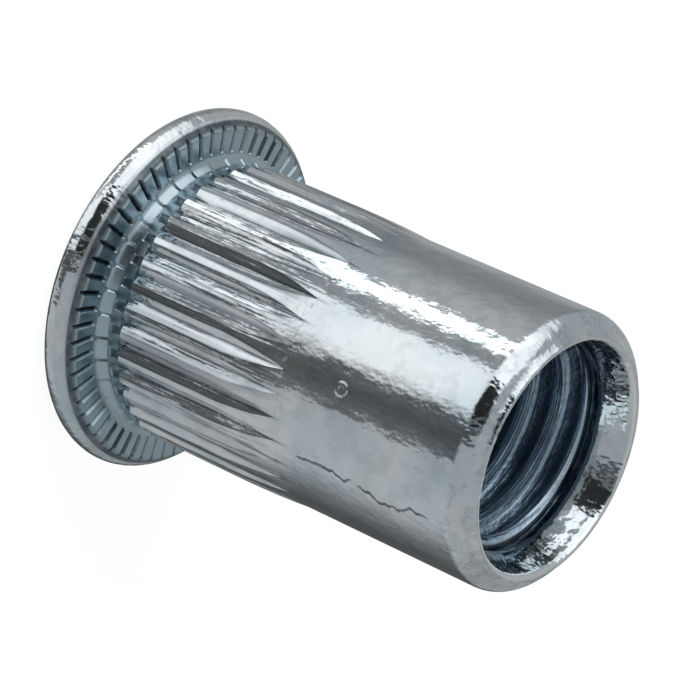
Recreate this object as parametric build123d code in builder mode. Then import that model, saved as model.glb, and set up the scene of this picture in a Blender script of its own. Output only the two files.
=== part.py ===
from build123d import *
import os
from math import cos, radians, sin, tan

# A blind rivet nut: one cold-formed steel piece with a flat head, a serrated seat under the
# head, a ribbed shank and an open end that is threaded inside.
# It stands on its head. The flat face of the head lies on the XY plane, the axis is Z and
# the shank rises along +Z. Sizes are in millimetres, and angles in degrees.

# Head
head_diameter = 16.0
head_thickness = 1.6
rim_round = 0.7             # radius of the rim, from the flat face to its slope
rim_slope = 45.0            # of the cone between the round and the seat, to the flat face

# Serrated seat under the head
serration_count = 63
serration_depth = 0.2
serration_width = 0.4
serration_inset = 0.06      # from the neck out to the inner end of each groove
serration_run_out = 0.12    # how far each groove cuts into the slope of the rim

# Shank
overall_length = 21.0
shank_wall = 0.8            # around the widest bore, the chamber or the thread's roots
end_round = 0.9             # radius between the side and the slope of the open end
end_slope = 30.0            # of the cone between that round and the lip, to the end plane
lip_width = 0.16            # of the flat ring between that cone and the mouth
neck_width = 0.35           # of the cone between the seat and the shank
neck_height = 0.4

# Ribs that keep the nut from turning in its hole, with a V groove between each two
rib_count = 36
rib_height = 0.14           # of a crest, out from the plain shank
rib_valley_depth = 0.07     # of the bottom of a groove, in from the plain shank
rib_flank_angle = 27.0      # between a flank and the shank's surface
rib_gap = 0.25              # bare band between the neck and the foot of the ribs
rib_lead_in = 0.25
rib_length = 6.0            # at full height
rib_run_out = 2.7           # over which the ribs level out and each groove narrows to a point

# Bore
thread_diameter = 10.0      # nominal
thread_pitch = 1.5
thread_lead_angle = 45.0    # of the cones at both ends of the thread, to the axis
chamber_diameter = 10.4     # the wider bore that lets the thin wall of the shank fold
chamber_length = 9.5
chamber_chamfer = 0.25
mouth_diameter = 9.8
mouth_depth = 1.45
mouth_edge_width = 0.1      # of the cone that breaks the edge between mouth and lip
mouth_edge_depth = 0.2

# Sizes that follow from these
shank_diameter = max(chamber_diameter, thread_diameter) + 2 * shank_wall
head_radius = head_diameter / 2
shank_radius = shank_diameter / 2
valley_radius = shank_radius - rib_valley_depth
neck_radius = valley_radius + neck_width
neck_top = head_thickness + neck_height
chamber_radius = chamber_diameter / 2
mouth_radius = mouth_diameter / 2
thread_minor_radius = thread_diameter / 2 - 5 / 8 * thread_pitch * cos(radians(30))
cut_margin = 0.2            # how far a cutter stands out past the surface that it cuts

# The seat ends where the slope of the rim, which is tangent to its round, reaches it
round_end_radius = head_radius - rim_round * (1 - sin(radians(rim_slope)))
round_end_height = rim_round * (1 + cos(radians(rim_slope)))
slope_width = (head_thickness - round_end_height) / tan(radians(rim_slope))
seat_radius = round_end_radius - slope_width

# The same at the open end: side, round, slope and lip
lip_radius = mouth_radius + lip_width
nose_radius = shank_radius - end_round * (1 - sin(radians(end_slope)))
nose_height = overall_length - (nose_radius - lip_radius) * tan(radians(end_slope))
side_height = nose_height - end_round * cos(radians(end_slope))


def lead_length(outer_radius):
    """Length along the axis of the cone from a wider bore down to the thread."""
    return (outer_radius - thread_minor_radius) / tan(radians(thread_lead_angle))


# One groove between two ribs: a V whose bottom rises to the plain shank along the run-out
rib_crest = shank_radius + rib_height
rib_start = neck_top + rib_gap
rib_full_start = rib_start + rib_lead_in
rib_full_end = rib_full_start + rib_length
rib_end = rib_full_end + rib_run_out
valley_reach = rib_height + rib_valley_depth + cut_margin
valley_half_top = valley_reach / tan(radians(rib_flank_angle))
valley_rise = rib_valley_depth / rib_run_out
valley_stations = [
    (rib_start, valley_radius),
    (rib_full_end, valley_radius),
    (rib_end + cut_margin, shank_radius + cut_margin * valley_rise),
]

with BuildPart() as valley_cut:
    for height, bottom in valley_stations:
        with BuildSketch(Plane.XY.offset(height)):
            with BuildLine():
                Polyline(
                    (bottom, 0),
                    (bottom + valley_reach, valley_half_top),
                    (bottom + valley_reach, -valley_half_top),
                    close=True,
                )
            make_face()
    loft(ruled=True)

# One radial groove of the seat: a V that opens upwards
groove_start = neck_radius + serration_inset
groove_length = seat_radius + serration_run_out - groove_start
groove_bottom = head_thickness - serration_depth
groove_top = head_thickness + cut_margin
groove_half_top = serration_width / 2 * (1 + cut_margin / serration_depth)

with BuildPart() as groove:
    with BuildSketch(Plane.YZ.offset(groove_start)):
        with BuildLine():
            Polyline(
                (0, groove_bottom),
                (groove_half_top, groove_top),
                (-groove_half_top, groove_top),
                close=True,
            )
        make_face()
    extrude(amount=groove_length)

with BuildPart() as rivet_nut:
    # The outer form, turned about the axis
    with BuildSketch(Plane.XZ):
        with BuildLine():
            face = Line((0, 0), (head_radius - rim_round, 0))
            rim = CenterArc((head_radius - rim_round, rim_round), rim_round, -90, 180 - rim_slope)
            slope = Line(rim @ 1, (seat_radius, head_thickness))
            seat = Line(slope @ 1, (neck_radius, head_thickness))
            neck = Line(seat @ 1, (valley_radius, neck_top))
            band = Line(neck @ 1, (valley_radius, rib_start))
            foot = Line(band @ 1, (rib_crest, rib_full_start))
            crest = Line(foot @ 1, (rib_crest, rib_full_end))
            run_out = Line(crest @ 1, (shank_radius, rib_end))
            side = Line(run_out @ 1, (shank_radius, side_height))
            nose = CenterArc((shank_radius - end_round, side_height), end_round, 0, 90 - end_slope)
            fall = Line(nose @ 1, (lip_radius, overall_length))
            end = Line(fall @ 1, (0, overall_length))
            Line(end @ 1, face @ 0)
        make_face()
    revolve(axis=Axis.Z)

    # The grooves between the ribs. One rib stands on the X axis
    with PolarLocations(0, rib_count, start_angle=180 / rib_count):
        add(valley_cut.part, mode=Mode.SUBTRACT)

    # The serrations of the seat
    with PolarLocations(0, serration_count):
        add(groove.part, mode=Mode.SUBTRACT)

    # The bore, from the head up: chamber, thread at its minor diameter, smooth mouth
    with BuildSketch(Plane.XZ):
        mouth_floor = overall_length - mouth_depth
        with BuildLine():
            Polyline(
                (0, 0),
                (chamber_radius + chamber_chamfer, 0),
                (chamber_radius, chamber_chamfer),
                (chamber_radius, chamber_length),
                (thread_minor_radius, chamber_length + lead_length(chamber_radius)),
                (thread_minor_radius, mouth_floor - lead_length(mouth_radius)),
                (mouth_radius, mouth_floor),
                (mouth_radius, overall_length - mouth_edge_depth),
                (mouth_radius + mouth_edge_width, overall_length),
                (0, overall_length),
                close=True,
            )
        make_face()
    revolve(axis=Axis.Z, mode=Mode.SUBTRACT)

rivet_nut.part.label = "rivet_nut"

os.makedirs("parts", exist_ok=True)
export_step(rivet_nut.part, "parts/rivet_nut.step")
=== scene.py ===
from functools import partial, reduce
from math import acos, atan, atan2, cos, degrees, hypot, pi, radians, sin, sqrt, tan

import bmesh
import bpy
from bpy.props import FloatProperty, FloatVectorProperty, PointerProperty
from mathutils import Matrix, Vector


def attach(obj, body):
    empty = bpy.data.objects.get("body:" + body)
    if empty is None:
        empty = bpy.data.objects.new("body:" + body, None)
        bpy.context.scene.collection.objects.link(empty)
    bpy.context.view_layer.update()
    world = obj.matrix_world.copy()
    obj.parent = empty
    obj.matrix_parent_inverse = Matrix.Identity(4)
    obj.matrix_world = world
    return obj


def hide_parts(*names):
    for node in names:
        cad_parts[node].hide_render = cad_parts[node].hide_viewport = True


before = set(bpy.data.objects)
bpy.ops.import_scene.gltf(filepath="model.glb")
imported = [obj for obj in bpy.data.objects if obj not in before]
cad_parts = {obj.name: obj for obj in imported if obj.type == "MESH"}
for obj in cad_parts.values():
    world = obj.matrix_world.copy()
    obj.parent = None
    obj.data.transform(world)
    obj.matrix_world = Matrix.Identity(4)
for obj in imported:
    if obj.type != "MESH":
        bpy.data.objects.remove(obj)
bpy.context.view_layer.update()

bl_info = {
    "name": "Rivet nut",
    "version": (1, 0, 0),
    "blender": (4, 5, 0),
    "location": "3D Viewport > Sidebar > Rivet nut",
    "description": "Models a plated blind rivet nut around its packed solid, and its studio",
    "category": "Add Mesh",
}

MM = 0.001
NODE = "rivet_nut"
BODY = "root"
SLOT = "zinc_plated_steel"
WELD = 1e-6                 # metres, under which two corners are one

# Ribs and serrations, the angle in degrees that each takes, and the columns of corners in each.
# Both make 504 columns round the axis, so that the pieces of the nut meet corner to corner
RIBS = 36
RIB_SECTOR = 360 / RIBS
RIB_COLUMNS = 14
SERRATIONS = 63
SERRATION_SECTOR = 360 / SERRATIONS
AROUND = RIBS * RIB_COLUMNS

# Columns of half a serration, from the bottom of its groove to the middle of the land, in degrees
SERRATION_COLUMNS = (0, 0.4, 0.8, 1.2, SERRATION_SECTOR / 2)


# Sizes and colours

class NutShape(bpy.types.PropertyGroup):
    """Sizes of the nut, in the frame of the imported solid."""

    def length(name, description, millimetres):
        return FloatProperty(name=name, description=description, default=millimetres * MM,
                             subtype="DISTANCE", unit="LENGTH", precision=5)

    def angle(name, description, in_degrees):
        return FloatProperty(name=name, description=description, default=radians(in_degrees),
                             subtype="ANGLE", unit="ROTATION")

    head_diameter: length("Head diameter", "Across the rim", 16.0)
    head_thickness: length("Head thickness", "From the flat face to the seat", 1.6)
    rim_round: length("Rim round", "Radius from the flat face to the rim's slope", 0.7)
    seat_diameter: length("Seat diameter", "Where the slope of the rim meets the seat", 14.78)
    neck_diameter: length("Neck diameter", "Where the neck meets the seat", 12.56)
    serration_depth: length("Serration depth", "Of each groove in the seat", 0.2)
    shank_diameter: length("Shank diameter", "Of the plain stretch", 12.0)
    valley_diameter: length("Valley diameter", "Across the bottoms of the grooves", 11.86)
    rib_height: length("Rib height", "Of a crest, out from the plain shank", 0.14)
    rib_flank: angle("Rib flank", "Between a flank and the shank's surface", 27.0)
    pocket_depth: length("Pocket depth", "Of the small pits at the foot of the ribs", 0.09)
    overall_length: length("Overall length", "From the flat face to the lip", 21.0)
    end_round: length("End round", "Radius between the side and the slope of the end", 0.9)
    mouth_diameter: length("Mouth diameter", "Of the smooth band ahead of the thread", 9.8)
    mouth_depth: length("Mouth depth", "Of that band", 1.45)
    lip_round: length("Lip round", "From the wide end of the mouth out to the top of the lip", 0.3)
    mouth_flare: angle("Mouth flare", "Between the mouth's wall and the axis", 21.0)
    thread_diameter: length("Thread diameter", "Nominal, across the roots", 10.0)
    thread_pitch: length("Thread pitch", "Rise in one turn", 1.5)
    chamber_diameter: length("Chamber diameter", "Of the wider bore behind the head", 10.4)
    chamber_length: length("Chamber length", "From the flat face", 9.5)


class NutFinish(bpy.types.PropertyGroup):
    """Colours and gloss of the plating."""

    zinc: FloatVectorProperty(name="Zinc", description="Colour of the bright plating",
                              subtype="COLOR", default=(0.74, 0.77, 0.78), min=0, max=1)
    blue: FloatVectorProperty(name="Blue tint", description="Colour where the plating is thick",
                              subtype="COLOR", default=(0.52, 0.63, 0.68), min=0, max=1)
    gloss: FloatProperty(name="Roughness", description="Of the bright plating",
                         default=0.07, min=0, max=1, subtype="FACTOR")
    wrinkle: FloatProperty(name="Wrinkle", description="Height of the wrinkles in the plating",
                           default=0.012 * MM, subtype="DISTANCE", unit="LENGTH", precision=6)


class NutStudio(bpy.types.PropertyGroup):
    """The camera and the light."""

    lens: FloatProperty(name="Lens", description="Focal length on a 36 mm sensor",
                        default=207.6, unit="CAMERA")
    turn: FloatProperty(name="Turn", description="Of the camera and the studio about the axis",
                        default=radians(-76.7), subtype="ANGLE", unit="ROTATION")
    floor_colour: FloatVectorProperty(name="Floor", description="Colour of the floor",
                                      subtype="COLOR", default=(0.96, 0.96, 0.96), min=0, max=1)
    tent_level: FloatProperty(name="Tent level", description="Grey of the top of the light tent",
                              default=0.48, min=0)
    tent_colour: FloatVectorProperty(name="Tent colour", description="Of the tent's cloth",
                                     subtype="COLOR", default=(0.95, 0.98, 1.0), min=0, max=1)


# Modelling by hand

def deselect_everything():
    """Leaves edit mode and deselects every object."""
    if bpy.context.mode != "OBJECT":
        bpy.ops.object.mode_set(mode="OBJECT")
    bpy.ops.object.select_all(action="DESELECT")


def pick(obj, test):
    """Selects the corners that pass the test (radius, angle in degrees, height), in edit mode."""
    bpy.ops.mesh.select_mode(type="VERT")
    bpy.ops.mesh.select_all(action="DESELECT")
    mesh = bmesh.from_edit_mesh(obj.data)
    for corner in mesh.verts:
        x, y, z = corner.co / MM
        if test(hypot(x, y), degrees(atan2(y, x)) % 360, z):
            corner.select = True
    mesh.select_flush_mode()
    bmesh.update_edit_mesh(obj.data)


def pick_corners(obj, indices):
    """Selects the corners with these numbers, in edit mode."""
    bpy.ops.mesh.select_all(action="DESELECT")
    mesh = bmesh.from_edit_mesh(obj.data)
    mesh.verts.ensure_lookup_table()
    for index in indices:
        mesh.verts[index].select = True
    mesh.select_flush_mode()
    bmesh.update_edit_mesh(obj.data)


def profile(name, points):
    """A string of edges through points (radius, height) in mm, left in edit mode."""
    deselect_everything()
    bpy.ops.mesh.primitive_plane_add(size=MM, location=(0, 0, 0))
    obj = bpy.context.object
    obj.name = name
    bpy.ops.object.mode_set(mode="EDIT")
    bpy.ops.mesh.select_all(action="SELECT")
    bpy.ops.mesh.merge(type="CENTER")
    radius, height = points[0]
    bpy.ops.transform.translate(value=(radius * MM, 0, height * MM))
    for (r0, z0), (r1, z1) in zip(points, points[1:]):
        step = ((r1 - r0) * MM, 0, (z1 - z0) * MM)
        bpy.ops.mesh.extrude_region_move(TRANSFORM_OT_translate={"value": step})
    return obj


def spin_all(steps, angle, copies=False):
    """Spins the whole mesh in edit mode about the nut's axis."""
    bpy.ops.mesh.select_all(action="SELECT")
    bpy.ops.mesh.spin(steps=steps, dupli=copies, angle=radians(angle),
                      center=(0, 0, 0), axis=(0, 0, -1))


def turn_by(angle):
    """Turns the picked corners about the nut's axis, counter-clockwise seen from the open end."""
    # with no window the operator turns the other way
    bpy.ops.transform.rotate(value=-radians(angle), orient_axis="Z", center_override=(0, 0, 0))


def grow_by(factor):
    """Moves the picked corners out from the axis."""
    bpy.ops.transform.resize(value=(factor, factor, 1), center_override=(0, 0, 0))


def weld_all():
    """Makes corners that lie together one, in edit mode."""
    bpy.ops.mesh.select_all(action="SELECT")
    bpy.ops.mesh.remove_doubles(threshold=WELD)


def mirrored(half, whole):
    """Columns of a whole tooth from those of its half."""
    return list(half) + [whole - angle for angle in reversed(half[:-1])]


def place_columns(obj, columns, keep):
    """Turns each evenly spun column to its own angle, but for the rows that keep says."""
    even = columns[-1] / (len(columns) - 1)
    moves = [(index * even, angle - index * even) for index, angle in enumerate(columns)]
    moves = [(at, by) for at, by in moves if abs(by) > 1e-6]
    # columns that turn forwards are moved from the last one back, so that none meets another
    for at, by in sorted(moves, key=lambda move: -move[0] if move[1] > 0 else move[0]):
        pick(obj, lambda r, a, z: abs((a + 180) % 360 - 180 - at) < 0.02 and not keep(r, z))
        turn_by(by)


def arc(centre, radius, start, end, steps):
    """Points (radius, height) along an arc between two angles, without its first end."""
    return [(centre[0] + radius * cos(radians(start + (end - start) * i / steps)),
             centre[1] + radius * sin(radians(start + (end - start) * i / steps)))
            for i in range(1, steps + 1)]


def near(a, b, tolerance=0.004):
    """Whether two lengths in mm, or two angles in degrees, are the same but for rounding."""
    return abs(a - b) < tolerance


# The shank

# Heights in mm of the ribs' feet, of their full height's start and end, and of their tips
RIB_FOOT, RIB_FULL, RIB_FADE, RIB_END = 2.62, 2.75, 7.6, 11.2
FULL_ROWS = (RIB_FULL, 3.6, 4.4, 5.2, 6.0, 6.8, RIB_FADE)
FADE_ROWS = (8.1, 8.6, 9.1, 9.6, 10.0, 10.4, 10.7, 10.95, 11.12)

# How far each column lies from the bottom of a groove: to the rib's edge, then to its middle
FLANK_SHARES = (0, 0.12, 0.45, 0.85, 1)
CREST_SHARES = (0.15, 0.5, 1)

# The open end: the slope of its cone in degrees, and the width in mm of the ring inside it
END_SLOPE = 30
LIP_WIDTH = 0.16


def in_mm(settings, name):
    """A length among the settings, in mm."""
    return getattr(settings, name) / MM


def rib_section(shape, height):
    """Crest and groove bottom in mm, and the angle in degrees from that bottom to the crest."""
    shank = in_mm(shape, "shank_diameter") / 2
    valley = in_mm(shape, "valley_diameter") / 2
    run = min(1, max(0, (height - RIB_FADE) / (RIB_END - RIB_FADE))) ** 2
    crest = shank + in_mm(shape, "rib_height") * (1 - run)
    bottom = valley + (shank - valley) * run
    slope = tan(shape.rib_flank)
    return crest, bottom, degrees(acos(bottom / crest / sqrt(1 + slope * slope)) - atan(slope))


def rib_corner(shape, height, column):
    """Angle in degrees and radius in mm of one corner of the ribbed shank."""
    crest, bottom, edge = rib_section(shape, height)
    step = abs(column - RIB_COLUMNS // 2)
    middle = RIB_SECTOR / 2
    if step < len(FLANK_SHARES):
        away = edge * FLANK_SHARES[step]
    else:
        away = edge + (middle - edge) * CREST_SHARES[step - len(FLANK_SHARES)]
    slope = tan(shape.rib_flank)
    flank = bottom / (cos(radians(away)) - slope * sin(radians(away)))
    return middle + (away if column > RIB_COLUMNS // 2 else -away), min(crest, flank)


class RIVETNUT_OT_shape_shank(bpy.types.Operator):
    """Spin one rib's sector of the shank, raise the rib, sink the pockets, and copy it round"""
    bl_idname = "rivetnut.shape_shank"
    bl_label = "Shape shank and ribs"

    def execute(self, context):
        shape = context.scene.nut_shape
        shank = in_mm(shape, "shank_diameter") / 2
        valley = in_mm(shape, "valley_diameter") / 2
        neck = in_mm(shape, "neck_diameter") / 2
        seat = in_mm(shape, "head_thickness")
        length = in_mm(shape, "overall_length")
        end_round = in_mm(shape, "end_round")
        lip = in_mm(shape, "mouth_diameter") / 2

        nose = shank - end_round / 2
        nose_height = length - (nose - lip - LIP_WIDTH) * tan(radians(END_SLOPE))
        side = nose_height - end_round * cos(radians(END_SLOPE))
        rows = [(neck, seat), (neck - 0.13, seat + 0.06), (neck - 0.24, seat + 0.18),
                (valley + 0.03, seat + 0.34), (valley, seat + 0.43)]
        rows += [(valley, z) for z in (2.11, 2.16, 2.54, RIB_FOOT)]
        rows += [(valley, z) for z in FULL_ROWS + FADE_ROWS]
        rows += [(shank, z) for z in (RIB_END, 12, 13, 14, 15, 16, 17, 18, 19, side)]
        rows += arc((shank - end_round, side), end_round, 0, 90 - END_SLOPE, 7)
        rows += [(5.36, length - 0.16), (5.3, length - 0.08), (5.26, length - 0.03),
                 (5.23, length - 0.008), (lip + in_mm(shape, "lip_round"), length)]
        obj = profile("shank", rows)
        spin_all(RIB_COLUMNS, RIB_SECTOR)
        weld_all()

        # the grooves between the ribs, column by column and row by row
        corners = {}
        for corner in bmesh.from_edit_mesh(obj.data).verts:
            x, y, z = corner.co / MM
            column = round(degrees(atan2(y, x)) / (RIB_SECTOR / RIB_COLUMNS))
            corners.setdefault((round(z, 3), column), corner.index)
        for rows_alike in [FULL_ROWS] + [(row,) for row in FADE_ROWS]:
            for column in range(RIB_COLUMNS + 1):
                angle, radius = rib_corner(shape, rows_alike[0], column)
                pick_corners(obj, [corners[round(row, 3), column] for row in rows_alike])
                turn_by(angle - column * RIB_SECTOR / RIB_COLUMNS)
                grow_by(radius / valley)
        # a pit at the foot of each rib
        depth = in_mm(shape, "pocket_depth")
        pick(obj, lambda r, a, z: 2.15 < z < 2.55 and (a < 1.6 or 8.4 < a < 10.1 or a > 359.9))
        grow_by((valley - depth) / valley)
        # a thin line down the neck between two ribs
        pick(obj, lambda r, a, z: seat + 0.02 < z < seat + 0.4 and near(a, RIB_SECTOR / 2, 0.02))
        grow_by(0.988)

        spin_all(RIBS - 1, 360 - RIB_SECTOR, copies=True)
        weld_all()
        bpy.ops.object.mode_set(mode="OBJECT")
        return {"FINISHED"}


# The head

class RIVETNUT_OT_shape_head(bpy.types.Operator):
    """Spin one serration's sector of the head, press the groove into it, and copy it round"""
    bl_idname = "rivetnut.shape_head"
    bl_label = "Shape head and serrations"

    def execute(self, context):
        shape = context.scene.nut_shape
        neck = in_mm(shape, "neck_diameter") / 2
        ridge = in_mm(shape, "seat_diameter") / 2
        rim = in_mm(shape, "head_diameter") / 2
        seat = in_mm(shape, "head_thickness")
        rim_round = in_mm(shape, "rim_round")
        depth = in_mm(shape, "serration_depth")

        seat_rows = [neck, neck + 0.1, neck + 0.16, 6.7, 7.0, 7.25]
        slope_rows = [ridge, ridge + depth / 3, ridge + depth * 2 / 3, ridge + depth, ridge + 0.25]
        rows = [(r, seat) for r in seat_rows]
        rows += [(r, seat - (r - ridge)) for r in slope_rows]
        middle = rim - rim_round
        diagonal = rim_round * sin(radians(45))
        rows += [(middle + diagonal, rim_round + diagonal)]
        rows += arc((middle, rim_round), rim_round, 45, -90, 11)
        obj = profile("head", rows)
        spin_all(AROUND // SERRATIONS, SERRATION_SECTOR)
        weld_all()
        place_columns(obj, mirrored(SERRATION_COLUMNS, SERRATION_SECTOR),
                      lambda r, z: r < neck + 0.01 or z < 0.001)

        for angle in SERRATION_COLUMNS[:-1]:
            def column(a, at=angle):
                a = (a + 180) % 360 - 180
                return near(a, at, 0.02) or near(a, SERRATION_SECTOR - at, 0.02)
            bottom = seat - depth * (1 - angle / SERRATION_COLUMNS[-2])
            for radius, height in rows[2:len(seat_rows) + 4]:
                if bottom < height - 1e-4:
                    pick(obj, lambda r, a, z: column(a) and near(r, radius) and near(z, height))
                    bpy.ops.transform.translate(value=(0, 0, (bottom - height) * MM))
        spin_all(SERRATIONS - 1, 360 - SERRATION_SECTOR, copies=True)
        weld_all()
        bpy.ops.object.mode_set(mode="OBJECT")
        return {"FINISHED"}


# The bore

class RIVETNUT_OT_shape_bore(bpy.types.Operator):
    """Spin the flat face, the chamber, the bore of the thread and the mouth"""
    bl_idname = "rivetnut.shape_bore"
    bl_label = "Shape bore and flat face"

    def execute(self, context):
        shape = context.scene.nut_shape
        mouth = in_mm(shape, "mouth_diameter") / 2
        length = in_mm(shape, "overall_length")
        floor = length - in_mm(shape, "mouth_depth")
        chamber = in_mm(shape, "chamber_diameter") / 2
        chamber_top = in_mm(shape, "chamber_length")
        crest = (in_mm(shape, "thread_diameter") / 2
                 - 5 / 8 * in_mm(shape, "thread_pitch") * cos(radians(30)))
        face = in_mm(shape, "head_diameter") / 2 - in_mm(shape, "rim_round")

        lip = in_mm(shape, "lip_round")
        rows = [(mouth + lip, length), (mouth + lip * 0.6, length - 0.03),
                (mouth + lip * 0.33, length - 0.1), (mouth + lip * 0.12, length - 0.22)]
        low, high = floor + 0.12, length - 0.38
        for step in range(5):
            height = high + (low - high) * step / 4
            rows.append((mouth - (high - height) * tan(shape.mouth_flare), height))
        inner = rows[-1][0]
        rows += [(inner - 0.03, floor + 0.02), (inner - 0.03, floor - 0.06),
                 (inner + 0.12, floor - 0.12), (inner + 0.12, floor - 0.5), (4.42, floor - 0.56),
                (crest + 0.03, 18.82), (crest, 18.76), (crest, 14.7),
                (crest, chamber_top + chamber - crest), (chamber, chamber_top)]
        rows += [(chamber, z) for z in (7, 4.5, 2)]
        rows += [(chamber, 0.25), (chamber + 0.25, 0), (6.0, 0), (6.7, 0), (face, 0)]
        profile("bore", rows)
        spin_all(AROUND, 360)
        weld_all()
        bpy.ops.object.mode_set(mode="OBJECT")
        return {"FINISHED"}


class RIVETNUT_OT_join_nut(bpy.types.Operator):
    """Join shank, head and bore, and close every seam between them"""
    bl_idname = "rivetnut.join_nut"
    bl_label = "Join nut"

    def execute(self, context):
        deselect_everything()
        for name in ("shank", "head", "bore"):
            bpy.data.objects[name].select_set(True)
        context.view_layer.objects.active = bpy.data.objects["shank"]
        bpy.ops.object.join()
        nut = context.object
        nut.name = nut.data.name = "plated_nut"
        bpy.ops.object.mode_set(mode="EDIT")
        weld_all()
        bpy.ops.mesh.normals_make_consistent(inside=False)
        bpy.ops.mesh.select_all(action="DESELECT")
        bpy.ops.mesh.select_non_manifold()
        bpy.ops.object.mode_set(mode="OBJECT")
        loose = sum(1 for corner in nut.data.vertices if corner.select)
        if loose:
            raise RuntimeError(f"the nut isn't closed: {loose} corners lie on an open seam")
        return {"FINISHED"}


class RIVETNUT_OT_cut_thread(bpy.types.Operator):
    """Sweep the groove of the thread up a screw line and cut it out of the bore"""
    bl_idname = "rivetnut.cut_thread"
    bl_label = "Cut thread"

    def execute(self, context):
        shape = context.scene.nut_shape
        root = in_mm(shape, "thread_diameter") / 2
        pitch = in_mm(shape, "thread_pitch")
        # from inside the chamber up to the undercut behind the mouth, and in from the crests
        low, high, inner = 8.9, 19.2, 3.95
        turns = (high - low) / pitch
        half_root = pitch / 16
        crest = root - 5 / 8 * pitch * cos(radians(30))
        half_crest = half_root + (root - crest) * tan(radians(30))
        # the edges of the crests are broken
        broken = crest + 0.1
        half_broken = half_crest - 0.1 * tan(radians(30))
        points = [(root - 0.03, low), (root, low + half_root),
                  (broken, low + half_broken), (inner, low + half_broken + 0.3),
                  (inner, low - half_broken - 0.3), (broken, low - half_broken),
                  (root, low - half_root)]
        # a fine seam along the middle of the crests
        seam_at = low + pitch / 2 - 0.06
        seam = [(crest + 0.12, seam_at), (crest - 0.2, seam_at + 0.13),
                (crest - 0.2, seam_at - 0.13)]
        cutters = []
        for name, section in (("groove", points), ("seam", seam)):
            cutter = profile(name, section)
            bpy.ops.mesh.select_all(action="SELECT")
            bpy.ops.mesh.edge_face_add()
            bpy.ops.mesh.delete(type="ONLY_FACE")
            bpy.ops.object.mode_set(mode="OBJECT")
            screw = cutter.modifiers.new("Screw line", "SCREW")
            screw.axis = "Z"
            screw.angle = 2 * pi * turns
            screw.screw_offset = turns * pitch * MM
            screw.iterations = 1
            screw.steps = screw.render_steps = round(168 * turns)
            screw.use_normal_calculate = True
            bpy.ops.object.modifier_apply(modifier=screw.name)
            bpy.ops.object.mode_set(mode="EDIT")
            bpy.ops.mesh.select_all(action="SELECT")
            bpy.ops.mesh.fill_holes(sides=8)
            bpy.ops.mesh.select_all(action="SELECT")
            bpy.ops.mesh.normals_make_consistent(inside=False)
            bpy.ops.object.mode_set(mode="OBJECT")
            cutters.append(cutter)

        nut = bpy.data.objects["plated_nut"]
        before = len(nut.data.polygons)
        deselect_everything()
        nut.select_set(True)
        context.view_layer.objects.active = nut
        for cutter in cutters:
            cut = nut.modifiers.new("Thread", "BOOLEAN")
            cut.operation = "DIFFERENCE"
            cut.solver = "EXACT"
            cut.object = cutter
            bpy.ops.object.modifier_apply(modifier=cut.name)
            bpy.data.objects.remove(cutter, do_unlink=True)
        if len(nut.data.polygons) < before + 1000:
            raise RuntimeError("the thread was not cut")
        return {"FINISHED"}


# The plating

def node(tree, kind, place=(0, 0), **values):
    """A node of a material, with its settings and the values of its sockets."""
    made = tree.nodes.new(kind)
    made.location = place
    for name, value in values.items():
        if name in made.inputs:
            made.inputs[name].default_value = value
        else:
            setattr(made, name, value)
    return made


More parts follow.
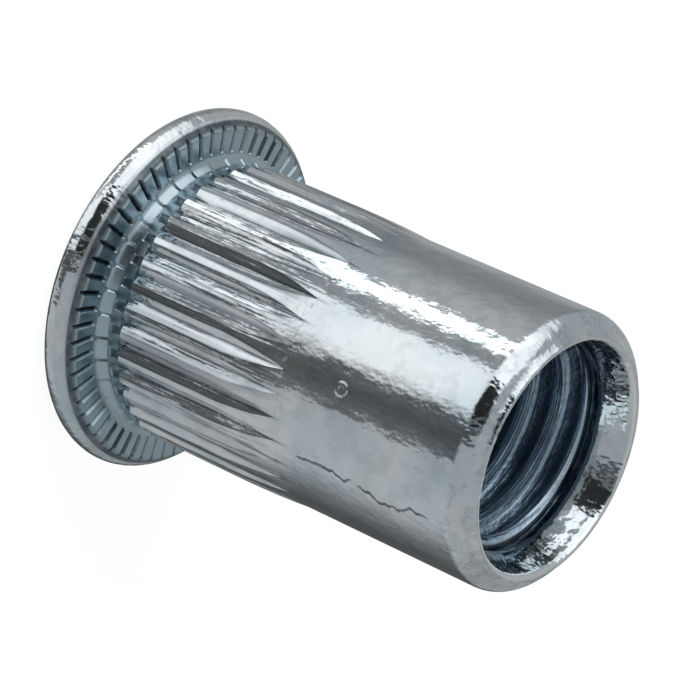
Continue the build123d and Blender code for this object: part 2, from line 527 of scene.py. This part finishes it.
class Recipe:
    """Makes the nodes of the plating on the nut's own coordinates. Lengths are in mm."""

    LEFT = {
        "ShaderNodeTexCoord": -2600, "ShaderNodeSeparateXYZ": -2400,
        "ShaderNodeVectorMath": -2200, "ShaderNodeCombineXYZ": -2000,
        "ShaderNodeTexNoise": -1800, "ShaderNodeAttribute": -1600,
        "ShaderNodeMapRange": -1400, "ShaderNodeMath": -1100,
        "ShaderNodeMix": -700, "ShaderNodeBump": -300,
    }
    ROW = -220

    def __init__(self, tree):
        self.tree = tree
        self.rows = {}
        self.place = self.add("ShaderNodeTexCoord").outputs["Object"]
        apart = self.add("ShaderNodeSeparateXYZ")
        self.feed(apart.inputs[0], self.place)
        self.x, self.y, self.height = apart.outputs
        self.radius = self.vector("LENGTH", self.vector("MULTIPLY", self.place, (1, 1, 0)))

    def add(self, kind, **values):
        """A node in its kind's column, under those that are there."""
        self.rows[kind] = self.rows.get(kind, 0) + 1
        return node(self.tree, kind, (self.LEFT[kind], self.ROW * self.rows[kind]), **values)

    def feed(self, socket, value):
        """Links another socket to this one, or sets its value."""
        if isinstance(value, bpy.types.NodeSocket):
            self.tree.links.new(value, socket)
        else:
            socket.default_value = value

    def vector(self, kind, first, second=None):
        made = self.add("ShaderNodeVectorMath", operation=kind)
        self.feed(made.inputs[0], first)
        if second:
            self.feed(made.inputs[1], second)
        return made.outputs["Vector" if kind == "MULTIPLY" else "Value"]

    def math(self, kind, first, second=0.0):
        made = self.add("ShaderNodeMath", operation=kind)
        self.feed(made.inputs[0], first)
        self.feed(made.inputs[1], second)
        return made.outputs[0]

    def times(self, *parts):
        return reduce(partial(self.math, "MULTIPLY"), parts)

    def plus(self, *parts):
        return reduce(partial(self.math, "ADD"), parts)

    def noise(self, scale, detail, rough=0.5, stretch=None):
        """Soft noise, drawn out along the axes whose factor in stretch is under 1."""
        made = self.add("ShaderNodeTexNoise", Scale=scale, Detail=detail, Roughness=rough)
        place = self.vector("MULTIPLY", self.place, stretch) if stretch else self.place
        self.feed(made.inputs["Vector"], place)
        return made.outputs["Fac"]

    def ranged(self, value, start, end, low=0.0, high=1.0):
        """Runs from low to high while the value runs from start to end."""
        made = self.add("ShaderNodeMapRange", **{"From Min": start, "From Max": end,
                                                 "To Min": low, "To Max": high})
        self.feed(made.inputs["Value"], value)
        return made.outputs["Result"]

    def fade(self, value, start, end, low=0.0, high=1.0):
        """The same for a length, with start and end in mm."""
        return self.ranged(value, start * MM, end * MM, low, high)

    def band(self, value, low, high, soft):
        """1 where a length lies between low and high, 0 outside, with soft edges."""
        return self.times(self.fade(value, low - soft, low + soft),
                          self.fade(value, high - soft, high + soft, 1.0, 0.0))

    def paint(self, base, layers):
        """Lays each colour over the base in turn, by its strength and where it lies."""
        for colour, strength, where in layers:
            made = self.add("ShaderNodeMix", data_type="RGBA")
            self.feed(made.inputs["Factor"], self.times(where, strength))
            self.feed(made.inputs["A"], base)
            self.feed(made.inputs["B"], (*colour, 1))
            base = made.outputs["Result"]
        return base


def zones_of(plating):
    """Where the parts of the nut lie that look different, each from 0 to 1."""
    radius, height = plating.radius, plating.height
    fade, band, times = plating.fade, plating.band, plating.times
    inside = times(fade(radius, 5.06, 5.02), fade(height, 20.75, 20.6))
    return {
        "thread": times(inside, fade(height, 19.1, 19.0)),
        # painted shade: the dark ring in the undercut behind the mouth
        "undercut": times(inside, band(height, 19.02, 19.45, 0.03)),
        "seat": times(band(radius, 6.3, 7.5, 0.04), band(height, 1.3, 1.9, 0.05)),
        "neck": times(band(radius, 5.5, 6.35, 0.02), band(height, 1.55, 2.7, 0.1)),
        # painted shade: the floors of the serration grooves
        "slot_shade": times(band(radius, 6.35, 7.7, 0.03), band(height, 1.2, 1.7, 0.02),
                       fade(height, 1.56, 1.44)),
        # painted shade: the insides of the pits at the foot of the ribs
        "pits": times(band(height, 2.12, 2.62, 0.03), fade(radius, 5.91, 5.86)),
        "slope": times(band(radius, 7.34, 7.82, 0.03), fade(height, 1.14, 1.2)),
        "end": times(fade(height, 19.7, 20.2), fade(radius, 5.02, 5.08)),
        "lip": times(fade(height, 20.86, 20.92), band(radius, 4.9, 5.16, 0.03)),
    }


def thread_lines(plating, pitch):
    """Fine lines that run along the thread, by how far a point lies across one turn."""
    turned = plating.math("DIVIDE", plating.math("ARCTAN2", plating.y, plating.x), 2 * pi)
    risen = plating.math("DIVIDE", plating.height, pitch)
    across = plating.math("FRACT", plating.math("SUBTRACT", risen, turned))
    spot = plating.add("ShaderNodeCombineXYZ")
    scales = ((across, 6.5), (plating.x, 110), (plating.y, 110))
    for socket, (value, scale) in zip(spot.inputs, scales):
        plating.feed(socket, plating.times(value, scale))
    lines = plating.add("ShaderNodeTexNoise", Scale=1.0, Detail=1.5, Roughness=0.5)
    plating.feed(lines.inputs["Vector"], spot.outputs[0])
    return plating.ranged(lines.outputs["Fac"], 0.38, 0.62)


def marks_of(plating, turn):
    """One small round pit and one broken crack, by their bearing about the axis."""
    pit_at = turn + radians(9.5)
    crack_at = turn + radians(45)
    middle = (6 * MM * cos(pit_at), 6 * MM * sin(pit_at), 14.05 * MM)
    ring = plating.band(plating.vector("DISTANCE", plating.place, middle), 0.16, 0.26, 0.08)

    def along(bearing):
        return plating.vector("DOT_PRODUCT", plating.place, (cos(bearing), sin(bearing), 0))

    swing = plating.math("SUBTRACT", plating.noise(520, 3, 0.65, (0.2, 0.2, 1)), 0.5)
    off_crack = plating.math("SUBTRACT", along(crack_at + pi / 2), plating.times(swing, 1.6 * MM))
    crack = plating.times(plating.fade(plating.math("ABSOLUTE", off_crack), 0.07, 0.02),
                          plating.band(plating.height, 12.4, 19.2, 0.2),
                          plating.fade(along(crack_at), 4, 5),
                          plating.ranged(plating.noise(600, 1), 0.42, 0.52),
                          plating.fade(plating.radius, 5.9, 5.95))
    return ring, crack


def mark_rib_shade(nut, shape):
    """Writes how near each corner lies to an edge of a rib or a groove's bottom, from 0 to 1, for
    shade painted along those lines.
    """
    lines = nut.data.attributes.new("rib_shade_line", "FLOAT", "POINT")
    for corner, line in zip(nut.data.vertices, lines.data):
        x, y, z = corner.co / MM
        if RIB_FULL - 0.2 < z < RIB_END and hypot(x, y) > 5.7:
            away = abs(degrees(atan2(y, x)) % RIB_SECTOR - RIB_SECTOR / 2)
            edge = rib_section(shape, z)[2]
            line.value = max(0, 1 - away / 0.8)
            if z < RIB_END - 1:
                line.value = max(line.value, 0.85 - abs(away - edge) * 1.5)


class RIVETNUT_OT_plate_nut(bpy.types.Operator):
    """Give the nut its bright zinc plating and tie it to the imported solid"""
    bl_idname = "rivetnut.plate_nut"
    bl_label = "Plate nut"

    def execute(self, context):
        shape = context.scene.nut_shape
        finish = context.scene.nut_finish
        material = bpy.data.materials.new(SLOT)
        material.use_nodes = True
        plating = Recipe(material.node_tree)
        radius, height = plating.radius, plating.height
        noise, ranged, fade, band = plating.noise, plating.ranged, plating.fade, plating.band
        times, plus, math = plating.times, plating.plus, plating.math

        zone = zones_of(plating)
        worked = math("MAXIMUM", zone["seat"], zone["neck"])
        ridges = times(thread_lines(plating, shape.thread_pitch), zone["thread"])
        ring, crack = marks_of(plating, context.scene.nut_studio.turn)
        rib_shade = plating.add("ShaderNodeAttribute", attribute_name="rib_shade_line").outputs["Fac"]
        scratches = times(ranged(noise(2300, 2, 0.6, (1, 1, 0.04)), 0.5, 0.64),
                          band(height, 2.7, 10.6, 0.5))
        specks = times(ranged(noise(700, 2, 0.4), 0.7, 0.76), ranged(noise(120, 1), 0.45, 0.6))
        creases = ranged(math("ABSOLUTE", math("SUBTRACT", noise(800, 3, 0.6), 0.5)), 0.045, 0.0)

        colour = plating.paint((*finish.zinc, 1), (
            (finish.blue, 1, ranged(noise(170, 3, 0.6), 0.45, 0.75)),
            ((0.36, 0.47, 0.53), 0.85, zone["seat"]),
            ((0.42, 0.53, 0.6), 0.8, zone["neck"]),
            # painted shade, near black, in the floors of the serration grooves
            ((0.05, 0.08, 0.1), 0.9, zone["slot_shade"]),
            # painted shade inside the pits at the foot of the ribs
            ((0.06, 0.08, 0.1), 0.55, zone["pits"]),
            ((0.32, 0.45, 0.6), 0.85, zone["thread"]),
            ((0.6, 0.72, 0.82), 0.7, ranged(ridges, 0.6, 0.95)),
            ((0.03, 0.06, 0.1), 0.6, times(ranged(ridges, 0.25, 0.08), zone["thread"])),
            # painted shade, near black, in the undercut behind the mouth
            ((0.02, 0.04, 0.07), 0.95, zone["undercut"]),
            # painted shade: dark lines along the bottoms of the grooves and the edges of the ribs
            ((0.1, 0.12, 0.14), 0.95, times(rib_shade, ranged(noise(420, 2, 0.6), 0.34, 0.55))),
            ((0.16, 0.19, 0.21), 0.5, scratches),
            ((0.3, 0.33, 0.35), 0.7, specks),
            ((0.42, 0.47, 0.48), 0.3, ranged(noise(1100, 3, 0.65), 0.47, 0.62)),
            ((0.2, 0.23, 0.25), 0.26, times(creases, zone["end"])),
            ((0.86, 0.88, 0.88), 0.8, zone["lip"]),
            ((0.14, 0.17, 0.2), 0.75, crack),
        ))
        gloss = plus(ranged(noise(260, 3), 0.35, 0.7, finish.gloss, finish.gloss + 0.07),
                     times(zone["thread"], 0.2), times(worked, 0.16), times(zone["slope"], 0.3))

        # the wrinkles of the plating are higher on the rounded end and on the rim
        peel = times(noise(820, 3, 0.6, (1, 1, 0.6)), 3.6,
                     fade(height, 19.4, 20.2, 1.0, 2.4), fade(radius, 7.3, 7.5, 1.0, 2.8))
        grain = times(noise(2600, 2, 0.6), 0.9)
        rough_thread = times(noise(2600, 4, 0.7), zone["thread"], 4.0)
        dents = plus(times(ring, 2.0), times(specks, -1.0), times(crack, -4.0))
        drawn = times(noise(3200, 2, 0.6, (1, 1, 0.1)), fade(height, 11.5, 10.5, 0.0, 1.3))
        furrows = times(noise(2200, 2, 0.5, (1, 1, 0.05)), band(height, 2.7, 10.4, 1.6), 5.2)
        relief = times(plus(peel, grain, rough_thread, dents, times(ridges, 3.5), drawn, furrows),
                       ranged(worked, 0.0, 1.0, 1.0, 0.25))
        bump = plating.add("ShaderNodeBump", Strength=1.0, Distance=finish.wrinkle)
        plating.feed(bump.inputs["Height"], relief)

        shader = material.node_tree.nodes["Principled BSDF"]
        for name, value in (("Metallic", 1), ("Base Color", colour), ("Roughness", gloss),
                            ("Normal", bump.outputs["Normal"])):
            plating.feed(shader.inputs[name], value)

        nut = bpy.data.objects["plated_nut"]
        mark_rib_shade(nut, shape)
        nut.data.materials.clear()
        nut.data.materials.append(material)
        deselect_everything()
        nut.select_set(True)
        context.view_layer.objects.active = nut
        bpy.ops.object.shade_smooth_by_angle(angle=radians(24))
        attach(nut, BODY)
        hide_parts(NODE)
        return {"FINISHED"}


# The studio

TENT_RADIUS = 0.6           # metres
FLOOR_RADIUS = 1.2

def tent_cloth(studio):
    """Glowing cloth of the tent, greyer and brighter by its bearing and height."""
    material = bpy.data.materials.new("tent")
    material.use_nodes = True
    tree = material.node_tree
    tree.nodes.clear()
    link = tree.links.new
    out = node(tree, "ShaderNodeOutputMaterial", (900, 0))
    glow = node(tree, "ShaderNodeEmission", (700, 0))
    place = node(tree, "ShaderNodeTexCoord", (-1000, 0))
    turned = node(tree, "ShaderNodeMapping", (-800, 0))
    turned.inputs["Rotation"].default_value = (0, 0, -studio.turn)
    link(place.outputs["Object"], turned.inputs["Vector"])
    round_about = node(tree, "ShaderNodeTexGradient", (-600, 100), gradient_type="RADIAL")
    link(turned.outputs[0], round_about.inputs["Vector"])
    apart = node(tree, "ShaderNodeSeparateXYZ", (-600, -150))
    link(turned.outputs[0], apart.inputs[0])

    def greys(stops, top):
        ramp = node(tree, "ShaderNodeValToRGB", (-350, top))
        ramp.color_ramp.interpolation = "LINEAR"
        points = ramp.color_ramp.elements
        while len(points) < len(stops):
            points.new(0.5)
        for point, (bearing, level) in zip(points, stops):
            point.position = bearing / 360 + 0.5
        for point, (bearing, level) in zip(points, stops):
            point.color = (level / 2, level / 2, level / 2, 1)
        link(round_about.outputs["Fac"], ramp.inputs["Fac"])
        return ramp.outputs["Color"]

    def by_height(low, high, first, second, left):
        share = node(tree, "ShaderNodeMapRange", (left, -250))
        share.inputs["From Min"].default_value = low * TENT_RADIUS
        share.inputs["From Max"].default_value = high * TENT_RADIUS
        link(apart.outputs["Z"], share.inputs["Value"])
        mixed = node(tree, "ShaderNodeMix", (left + 180, 0), data_type="RGBA")
        link(share.outputs[0], mixed.inputs["Factor"])
        link(first, mixed.inputs["A"])
        if isinstance(second, tuple):
            mixed.inputs["B"].default_value = second
        else:
            link(second, mixed.inputs["B"])
        return mixed.outputs["Result"]

    sides = by_height(-0.4, -0.22, greys(TENT_BELOW, 200), greys(TENT_ABOVE, -100), -50)
    level = studio.tent_level / 2
    whole = by_height(0.8, 0.92, sides, (level, level, level, 1), 300)
    cloth = node(tree, "ShaderNodeMix", (550, 150), data_type="RGBA", blend_type="MULTIPLY")
    cloth.inputs["Factor"].default_value = 1
    link(whole, cloth.inputs["A"])
    cloth.inputs["B"].default_value = (*studio.tent_colour, 1)
    link(cloth.outputs["Result"], glow.inputs["Color"])
    glow.inputs["Strength"].default_value = 2
    link(glow.outputs[0], out.inputs["Surface"])
    return material


# Grey of the light tent by bearing from the camera, in degrees: below, where the shank mirrors
# it, and above, where the rim and the rounded end do
TENT_BELOW = (
    (-180, 0.4), (-150, 0.42), (-138, 0.3), (-118, 0.28), (-104, 0.36), (-88, 0.5), (-73, 0.5),
    (-70, 1.9), (-59, 1.9), (-57, 0.45), (-48, 0.32), (-43, 0.5), (-39, 1.15), (-24, 1.15),
    (-10, 1.1), (-4, 0.85), (2, 0.4), (4, 0.15), (16, 0.1), (28, 0.14), (35, 0.2), (36.5, 0.5),
    (92, 0.56), (104, 0.38), (120, 0.2), (140, 0.1), (180, 0.09),
)
TENT_ABOVE = (
    (-180, 0.45), (-101, 0.45), (-95, 1.0), (-72, 1.35), (-36, 1.35), (-32, 0.03), (-1, 0.03),
    (2, 0.4), (4, 0.1), (13, 0.1), (16, 0.45), (110, 0.5), (135, 0.35), (180, 0.42),
)

# The camera before the studio turns: to its right, to its back, and its place in mm
CAMERA_RIGHT = (-0.4998, -0.4104, 0.7627)
CAMERA_BACK = (0.8364, 0, 0.5481)
CAMERA_PLACE = (138.95, -0.56, 100.85)


class RIVETNUT_OT_set_studio(bpy.types.Operator):
    """Set the floor, the light tent, the world and the camera"""
    bl_idname = "rivetnut.set_studio"
    bl_label = "Set studio"

    def execute(self, context):
        studio = context.scene.nut_studio
        scene = context.scene
        scene.view_settings.view_transform = "Standard"
        turn = Matrix.Rotation(studio.turn, 4, "Z")

        # Floor
        deselect_everything()
        bpy.ops.mesh.primitive_circle_add(vertices=96, radius=FLOOR_RADIUS, fill_type="NGON",
                                          location=(0, 0, 0))
        floor = context.object
        floor.name = "floor"
        bpy.ops.object.mode_set(mode="EDIT")
        bpy.ops.mesh.select_all(action="SELECT")
        bpy.ops.mesh.inset(thickness=0.1)
        bpy.ops.object.mode_set(mode="OBJECT")
        material = bpy.data.materials.new("floor")
        material.use_nodes = True
        tree = material.node_tree
        tree.nodes.clear()
        out = node(tree, "ShaderNodeOutputMaterial", (500, 0))
        paint = node(tree, "ShaderNodeBsdfDiffuse", (0, 100), Color=(*studio.floor_colour, 1))
        glow = node(tree, "ShaderNodeEmission", (0, -100), Strength=1.2)
        both = node(tree, "ShaderNodeMixShader", (250, 0), Fac=0.75)
        tree.links.new(paint.outputs[0], both.inputs[1])
        tree.links.new(glow.outputs[0], both.inputs[2])
        tree.links.new(both.outputs[0], out.inputs["Surface"])
        floor.data.materials.append(material)
        floor.visible_glossy = False

        # Light tent all round, which the metal mirrors
        deselect_everything()
        bpy.ops.mesh.primitive_ico_sphere_add(subdivisions=4, radius=TENT_RADIUS,
                                              location=(0, 0, 0))
        tent = context.object
        tent.name = "tent"
        tent.data.materials.append(tent_cloth(studio))
        tent.visible_camera = False
        tent.visible_shadow = False

        # World: the white beyond the floor's edge
        world = bpy.data.worlds.new("studio")
        scene.world = world
        world.use_nodes = True
        world.node_tree.nodes["Background"].inputs["Color"].default_value = (1, 1, 1, 1)
        world.node_tree.nodes["Background"].inputs["Strength"].default_value = 1

        # Camera
        data = bpy.data.cameras.new("camera")
        data.sensor_width = 36
        data.lens = studio.lens
        data.clip_start = 0.01
        data.clip_end = 3
        camera = bpy.data.objects.new("camera", data)
        scene.collection.objects.link(camera)
        right = Vector(CAMERA_RIGHT)
        back = Vector(CAMERA_BACK).normalized()
        up = back.cross(right).normalized()
        right = up.cross(back)
        seat = Matrix.Identity(4)
        for index, axis in enumerate((right, up, back)):
            for row in range(3):
                seat[row][index] = axis[row]
        seat.translation = Vector(CAMERA_PLACE) * MM
        camera.matrix_world = turn @ seat
        scene.camera = camera
        return {"FINISHED"}


class RIVETNUT_PT_panel(bpy.types.Panel):
    """Rivet nut, in the order in which it is made"""
    bl_idname = "RIVETNUT_PT_panel"
    bl_label = "Rivet nut"
    bl_space_type = "VIEW_3D"
    bl_region_type = "UI"
    bl_category = "Rivet nut"

    def draw(self, context):
        layout = self.layout
        for operator in OPERATORS:
            layout.operator(operator.bl_idname)
        for group in ("nut_shape", "nut_finish", "nut_studio"):
            settings = getattr(context.scene, group)
            box = layout.box()
            for name in settings.__annotations__:
                box.prop(settings, name)


GROUPS = (NutShape, NutFinish, NutStudio)
OPERATORS = (
    RIVETNUT_OT_shape_shank,
    RIVETNUT_OT_shape_head,
    RIVETNUT_OT_shape_bore,
    RIVETNUT_OT_join_nut,
    RIVETNUT_OT_cut_thread,
    RIVETNUT_OT_plate_nut,
    RIVETNUT_OT_set_studio,
)


def register():
    """Adds the settings, the operators and the panel."""
    for made in GROUPS + OPERATORS + (RIVETNUT_PT_panel,):
        bpy.utils.register_class(made)
    bpy.types.Scene.nut_shape = PointerProperty(type=NutShape)
    bpy.types.Scene.nut_finish = PointerProperty(type=NutFinish)
    bpy.types.Scene.nut_studio = PointerProperty(type=NutStudio)


def unregister():
    """Takes them out again."""
    del bpy.types.Scene.nut_studio
    del bpy.types.Scene.nut_finish
    del bpy.types.Scene.nut_shape
    for made in reversed(GROUPS + OPERATORS + (RIVETNUT_PT_panel,)):
        bpy.utils.unregister_class(made)


def main():
    """Makes the nut and its studio."""
    register()
    bpy.ops.rivetnut.shape_shank()
    bpy.ops.rivetnut.shape_head()
    bpy.ops.rivetnut.shape_bore()
    bpy.ops.rivetnut.join_nut()
    bpy.ops.rivetnut.cut_thread()
    bpy.ops.rivetnut.plate_nut()
    bpy.ops.rivetnut.set_studio()


if __name__ == "__main__":
    main()
